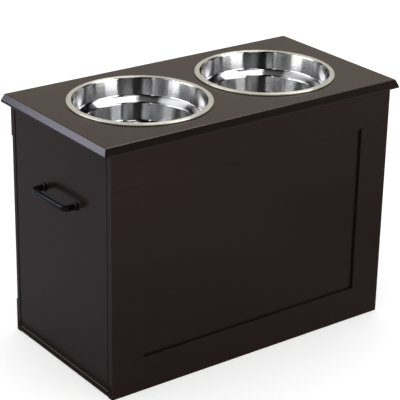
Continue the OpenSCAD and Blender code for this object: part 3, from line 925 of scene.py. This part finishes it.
def on_seats(tree, size, shape):
    """Ends a tree with one copy of the shape on every seat."""
    start = Wire(tree)
    turn = start.node("GeometryNodeInputNamedAttribute", {"data_type": "FLOAT_VECTOR"},
                      {"Name": "turn"})
    turn = start.node("FunctionNodeEulerToRotation", None, {0: turn})
    copies = start.node("GeometryNodeInstanceOnPoints", None, {
        "Points": size["Seats"], "Instance": shape, "Rotation": turn})
    end_tree(tree, copies, size["Finish"])


print("slot bars at", [angle for angle, deeper in SLOT_BARS], "degrees")

# %% The cam's tree
CAM = {"Radius": 5.99 * MM, "Height": 9.4 * MM, "Edge": 0.4 * MM, "Dish": 0.3 * MM,
       "Lip": 1.2 * MM, "Lip and slope": 1.5 * MM,
       "Slot length": 7.2 * MM, "Slot width": 1.2 * MM, "Slot depth": 1.7 * MM,
       "Bore radius": 2.9 * MM, "Bore depth": 5.7 * MM, "Bore middle": 5.0 * MM,
       "Bore length": 15 * MM}
SMALL_GUIDE = 0.02  # guide circle's radius for cams and screws
SMALL_STEPS = 3
CAM_SIDES, BORE_SIDES, SCREW_SIDES = 48, 31, 40


def cam_tree():
    tree, size = shape_tree("cam_lock", CAM, seats=True)
    start = Wire(tree)
    outside = size["Radius"]
    lip = outside - size["Lip"]
    inner = outside - size["Lip and slope"]
    foot = 0.0 - size["Height"]
    dish = 0.0 - size["Dish"]
    body = turned(tree, [(0.0, dish), (inner, dish), (lip, 0.0), (outside, 0.0),
                         (outside, foot), (0.0, foot)],
                  [0.0, 0.0, 0.0, size["Edge"], size["Edge"], 0.0],
                  SMALL_STEPS, CAM_SIDES, SMALL_GUIDE)
    bore = start.node("GeometryNodeMeshCylinder", None,
                      {"Vertices": BORE_SIDES, "Radius": size["Bore radius"],
                       "Depth": size["Bore length"]})
    place = start.node("ShaderNodeCombineXYZ", None,
                       {0: size["Bore middle"], 2: 0.0 - size["Bore depth"]})
    bore = start.node("GeometryNodeTransform", None, {
        "Geometry": bore, "Translation": place, "Rotation": (0.0, math.pi / 2, 0.0)})
    on_seats(tree, size, cross_cut(tree, body, size["Slot length"], size["Slot width"],
                                   size["Slot depth"], bore))
    return tree


cam_shape = cam_tree()
print("cam tree with", len(cam_shape.nodes), "nodes")

# %% The screw's tree
SCREW = {"Head radius": 3.5 * MM, "Head edge": 0.25 * MM, "Head height": 1.75 * MM,
         "Core radius": 1.35 * MM, "Thread radius": 1.74 * MM, "Length": 35.7 * MM,
         "Point": 3.0 * MM, "Bare neck": 1.0 * MM, "Bare end": 4.0 * MM,
         "Pitch": 1.6 * MM, "Slot length": 3.6 * MM, "Slot width": 0.8 * MM,
         "Slot depth": 1.1 * MM}
SCREW_BENDS = [0.0, 0.1 * MM, 0.1 * MM, 0.4 * MM, 0.3 * MM, 0.0]
TURN_STEPS = 24
RIDGE_MIDDLE, RIDGE_SIZE = 0.4, 0.6  # as shares of the thread's height


def screw_tree():
    tree, size = shape_tree("wood_screw", SCREW, seats=True)
    start = Wire(tree)
    head, core = size["Head radius"], size["Core radius"]
    edge = 0.0 - size["Head edge"]
    neck = 0.0 - size["Head height"]
    tip = 0.0 - size["Length"]
    body = turned(tree, [(0.0, 0.0), (head, 0.0), (head, edge), (core, neck),
                         (core, tip + size["Point"]), (0.0, tip)],
                  SCREW_BENDS, SMALL_STEPS, SCREW_SIDES, SMALL_GUIDE)
    body = cross_cut(tree, body, size["Slot length"], size["Slot width"],
                     size["Slot depth"])
    length = size["Length"] - size["Head height"] - size["Bare end"] - size["Bare neck"]
    ridge = size["Thread radius"] - core
    ridge_middle = core + ridge * RIDGE_MIDDLE
    helix = start.node("GeometryNodeCurveSpiral", None, {
        "Resolution": TURN_STEPS, "Rotations": length / size["Pitch"],
        "Start Radius": ridge_middle, "End Radius": ridge_middle, "Height": length})
    tooth = start.node("GeometryNodeCurvePrimitiveCircle", None,
                       {"Resolution": 4, "Radius": ridge * RIDGE_SIZE})
    thread = start.node("GeometryNodeCurveToMesh", None, {
        "Curve": helix, "Profile Curve": tooth, "Fill Caps": True})
    drop = start.node("ShaderNodeCombineXYZ", None, {2: tip + size["Bare end"]})
    thread = start.node("GeometryNodeTransform", None,
                        {"Geometry": thread, "Translation": drop})
    join = tree.nodes.new("GeometryNodeJoinGeometry")
    for part in (body, thread):
        tree.links.new(part.socket, join.inputs[0])
    on_seats(tree, size, Wire(tree, join.outputs[0]))
    return tree


screw_shape = screw_tree()
print("screw tree with", len(screw_shape.nodes), "nodes")

# %% Put them in
SMALL = {"Length": 20.7 * MM}
PAN = {"Head radius": 3.99 * MM, "Head edge": 2.0 * MM, "Head height": 2.4 * MM,
       "Core radius": 1.5 * MM, "Thread radius": 1.99 * MM, "Length": 23.4 * MM,
       "Pitch": 0.9 * MM, "Slot length": 4.8 * MM, "Slot width": 1.0 * MM}
for node, tree, bolts, sizes in [
        ("cam_locks", cam_shape, "cam_bolts", {}),
        ("drawer_cam_locks", cam_shape, "drawer_cam_bolts", {}),
        ("stop_block_screws", screw_shape, None, SMALL),
        ("drawer_back_screws", screw_shape, None, {}),
        ("handle_screws", screw_shape, None, PAN)]:
    piece = grow(node + "_repeated", tree, dict(sizes, Finish=zinc), seats(node, bolts))
    mesh = bmesh.new()
    mesh.from_mesh(piece.data)
    bmesh.ops.recalc_face_normals(mesh, faces=mesh.faces)
    mesh.to_mesh(piece.data)
    mesh.free()
    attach(piece, frame["nodes"][node]["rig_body"])
    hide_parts(node)
    low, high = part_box(node)
    print(node, "faces:", len(piece.data.polygons), "size:",
          [round(v, 4) for v in piece.dimensions], "CAD:",
          [round(v, 4) for v in high - low])

# %% [markdown]
# ## A white floor that keeps a shadow
#
# The portrait has a pure white ground. The floor is a pale matt sheet that keeps
# the feeder's soft shadow, and what the camera sees of it is raised to white with
# Light Path. The paint mirrors the floor too, and on the real feeder the walls get
# darker towards their foot. So reflections see painted shade on the floor: it dims
# near the front and the right end, a cooler grey sheet lies in front of the left
# end, and a near-black painted shadow lies at that end's foot.

# %% Helpers for light
def ray(wire, kind):
    """1 for rays of this kind, and 0 for the rest."""
    return wire.node("ShaderNodeLightPath", out="Is " + kind + " Ray")


def seen_directly(wire):
    """1 for camera, glossy and transmission rays, and 0 for the rest."""
    return (ray(wire, "Camera") + ray(wire, "Glossy")
            + ray(wire, "Transmission")).clipped()


def step(value, low, high):
    """0 up to the first limit, 1 from the second, and a slope between them."""
    return ((value - low) / (high - low)).clipped()


def parts_of(vector):
    """The x, y and z of a vector."""
    split = vector.node("ShaderNodeSeparateXYZ", None, {0: vector}).socket.node
    return [Wire(vector.tree, part) for part in split.outputs]


print("light helpers ready")

# %% Floor finish
SHEET_DULL, SHEET_CLEAN = (0.84, 0.84, 0.84), (0.86, 0.86, 0.86)
MIRRORED = (0.75, 0.75, 0.75)  # what reflections see of the floor
# Painted shade: near the front and the right end, the floor that reflections see fades
# towards this.
PAINTED_SHADE_BLACK = (0.0, 0.0, 0.0)
# Painted shade: the cooler grey sheet that reflections see in front of the left end.
LEFT_SHADE_SHEET = (0.45, 0.475, 0.525)
# Painted shadow: the near-black that reflections see at the left end's foot.
LEFT_FOOT_SHADOW = (0.12, 0.12, 0.13)
# Where each change starts and ends, in metres
LEFT_EDGE = (-0.275, -0.295)
RIGHT_FADE = (0.28, 0.53)
FRONT_FADE = (-0.95, -0.35)
LEFT_FOOT_X = (-0.309, -0.303)
LEFT_FOOT_Y = (-0.160, -0.155)
# How far the painted shade darkens the reflected floor at the right end and at the front.
RIGHT_DIM, FRONT_DIM = 0.25, 0.50
# Glow of the floor, and how much less of it reflections and the painted-shade sheet at
# the left get
GLOW, GLOSSY_LESS, LEFT_LESS = 0.42, 0.32, 0.10


def studio_floor():
    material, wire, shader = new_finish("studio_floor", Roughness=0.9,
                                        Specular_IOR_Level=0.0)
    place = wire.node("ShaderNodeTexCoord", out="Object")
    cloud = speckle(wire, place, scale=1.3, detail=2.0)
    across, ahead = parts_of(place)[:2]
    shiny = ray(wire, "Glossy")
    # Reflections see painted shade: a grey sheet at the left, a near-black shadow at its
    # foot, and a floor that dims near the front and the right end.
    left = shiny * step(across, *LEFT_EDGE)
    foot = left * step(across, *LEFT_FOOT_X) * step(ahead, *LEFT_FOOT_Y)
    dim = FRONT_DIM * step(ahead, *FRONT_FADE) + RIGHT_DIM * step(across, *RIGHT_FADE)
    sheet = mixed(wire, cloud, SHEET_DULL, SHEET_CLEAN)
    sheet = mixed(wire, shiny, sheet, mixed(wire, dim, MIRRORED, PAINTED_SHADE_BLACK))
    sheet = mixed(wire, left, sheet, LEFT_SHADE_SHEET)
    feed(shader, Base_Color=mixed(wire, foot, sheet, LEFT_FOOT_SHADOW))
    shader.inputs["Emission Color"].default_value = (1.0, 1.0, 1.0, 1.0)
    glow = GLOW * seen_directly(wire) - GLOSSY_LESS * shiny - LEFT_LESS * left
    wire.tree.links.new(glow.socket, shader.inputs["Emission Strength"])
    material.cycles.emission_sampling = "NONE"
    return material


# %% Floor
FLOOR_HALF = 30.0  # metres
mesh = bmesh.new()
bmesh.ops.create_grid(mesh, x_segments=8, y_segments=8, size=FLOOR_HALF)
data = bpy.data.meshes.new("studio_floor")
mesh.to_mesh(data)
mesh.free()
data.materials.append(studio_floor())
floor = bpy.data.objects.new("studio_floor", data)
bpy.context.scene.collection.objects.link(floor)
print("floor faces:", len(data.polygons))

# %% [markdown]
# ## The room
#
# A polished bowl looks like steel only when it has something bright and something
# dark to mirror. Plain light still has to be even, so that a colour comes out
# about as it is written. Light Path gives both. Plain rays see one even white
# dome. Shiny rays see a dark studio with a few panels in it: walls, reflectors and
# a strip light, each a range of directions with soft edges. The directions are
# counted from the far side of the picture, to the left, and up from the horizon.
# A panel at the left is mirrored in the right half of each bowl, and the other
# way round.

# %% The studio's panels
BACK_AZIMUTH = 53.18  # of the picture's far side, in degrees from +X
EDGE = 3.0  # width of a panel's soft edge, in degrees
EVEN_DOME, DIRECT_EXTRA = 0.92, 0.08  # together they are white for the camera
PANELS = [
    # name, turn from and to, height from and to (degrees), level
    ("white wall, left", 82, 124, -20, 30, 6.3),
    ("its shaded return", 124, 157, -20, 30, 0.5),
    ("gap beside a flag", 157.5, 160.5, -20, 45, 3.0),
    ("small reflector, left", 114, 136, 30, 45, 1.8),
    ("high reflector, back left", 39, 61, 44, 70, 2.8),
    ("its outer half", 61, 86, 45, 65, 1.2),
    ("reflector behind the left end", 56, 74, 26, 41, 2.8),
    ("low reflector, right", -98, -84, 10, 30, 1.0),
    ("strip light, right", -56, -47, -20, 30, 0.8),
    ("reflector, right", -104, -82, 30, 45, 4.0),
    ("high reflector, right", -93, -62, 45, 65, 4.6),
    ("panel overhead", -46, -13, 47, 95, 9.0),
    ("ceiling beside it", -13, 39, 55, 95, 0.25),
    ("panel above the camera", -168, -145, 38, 55, 2.5)]


def inside(value, low, high):
    """1 between two limits, with soft edges."""
    half = EDGE / 2
    return step(value, low - half, low + half) - step(value, high - half, high + half)


print("panels:", len(PANELS))

# %% Dome
world = bpy.data.worlds.new("studio_dome")
bpy.context.scene.world = world
world.use_nodes = True
wire = Wire(world.node_tree)
way = wire.node("ShaderNodeTexCoord", out="Object")
way = wire.node("ShaderNodeMapping", None,
                {"Vector": way, "Rotation": (0.0, 0.0, -math.radians(BACK_AZIMUTH))})
x, y, z = parts_of(way)
turn = wire.math("ARCTAN2", y, x) * (180 / math.pi)
height = wire.math("ARCSINE", z) * (180 / math.pi)
room = 0.0
for name, left, right, low, high, level in PANELS:
    room = room + inside(turn, left, right) * inside(height, low, high) * level
even = EVEN_DOME + DIRECT_EXTRA * seen_directly(wire)
strength = even + ray(wire, "Glossy") * (room - even)
backdrop = wire.tree.nodes["Background"]
backdrop.inputs["Color"].default_value = (1.0, 1.0, 1.0, 1.0)
wire.tree.links.new(strength.socket, backdrop.inputs["Strength"])
world.cycles.sampling_method = "NONE"
print("dome nodes:", len(wire.tree.nodes))

# %% [markdown]
# ## Three soft boxes
#
# Paint and polished steel want different rooms, and a photographer would light
# them in turn. Light linking does it in one go: a lamp is given the collection of
# pieces that it reaches. A low box at the left and slightly behind draws the pale
# line on the left bevel. A warm one behind the feeder gives the top its grey
# sheen. A wide white one lights the bowls alone. All three are seen only in
# reflections, so they add no plain light to the colours.

# %% Helpers for soft boxes
def soft_box(name, aim, distance, towards, wide, high, power, colour):
    """A rectangular lamp at a distance from its aim, in the direction towards."""
    lamp = bpy.data.lights.new(name, "AREA")
    lamp.shape = "RECTANGLE"
    lamp.size, lamp.size_y = wide, high
    lamp.energy = power
    lamp.color = colour
    stand = bpy.data.objects.new(name, lamp)
    bpy.context.scene.collection.objects.link(stand)
    way = Vector(towards).normalized()
    stand.matrix_world = (Matrix.Translation(Vector(aim) + way * distance)
                          @ way.to_track_quat("Z", "Y").to_matrix().to_4x4())
    stand.visible_camera = False
    stand.visible_diffuse = False
    return stand


def lit_group(name, *words):
    """The pieces whose finish has one of these words in its name."""
    group = bpy.data.collections.new(name)
    for piece in bpy.context.scene.objects:
        if piece.type == "MESH" and any(word in slot.name for slot in
                                        piece.material_slots for word in words):
            group.objects.link(piece)
    return group


def from_back(turn, height):
    """A direction, from its turn off the camera's far side and its height."""
    a, h = math.radians(BACK_AZIMUTH + turn), math.radians(height)
    return (math.cos(a) * math.cos(h), math.sin(a) * math.cos(h), math.sin(h))


def watts(level, wide, high):
    """The power that gives a box of any size the same brightness."""
    return level * math.pi * wide * high


print("from the far side:", [round(part, 3) for part in from_back(0, 0)])

# %% Soft boxes
COOL, WARM, WHITE = (0.63, 0.79, 1.0), (1.0, 0.90, 0.78), (1.0, 1.0, 1.0)
left_box = soft_box("left_soft_box", aim=(-0.29, -0.10, 0.40), distance=3.0,
                    towards=(-0.66, 0.72, 0.136), wide=1.1, high=0.9, power=31.0,
                    colour=COOL)
back_box = soft_box("back_soft_box", aim=(0.0, 0.0, 0.44), distance=4.0,
                    towards=from_back(0, 23), wide=3.0, high=1.5,
                    power=watts(0.70, 3.0, 1.5), colour=WARM)
bowl_box = soft_box("bowl_soft_box", aim=(0.0, 0.0, 0.40), distance=4.0,
                    towards=from_back(-119, 13.5), wide=2.9, high=2.1,
                    power=watts(8.0, 2.9, 2.1), colour=WHITE)
painted = lit_group("painted", "paint", "handle_")
bowls = lit_group("bowls", "_steel")
left_box.light_linking.receiver_collection = painted
back_box.light_linking.receiver_collection = painted
bowl_box.light_linking.receiver_collection = bowls

# %% View settings
bpy.context.scene.view_settings.view_transform = "Standard"
print("view transform:", bpy.context.scene.view_settings.view_transform)

# %% [markdown]
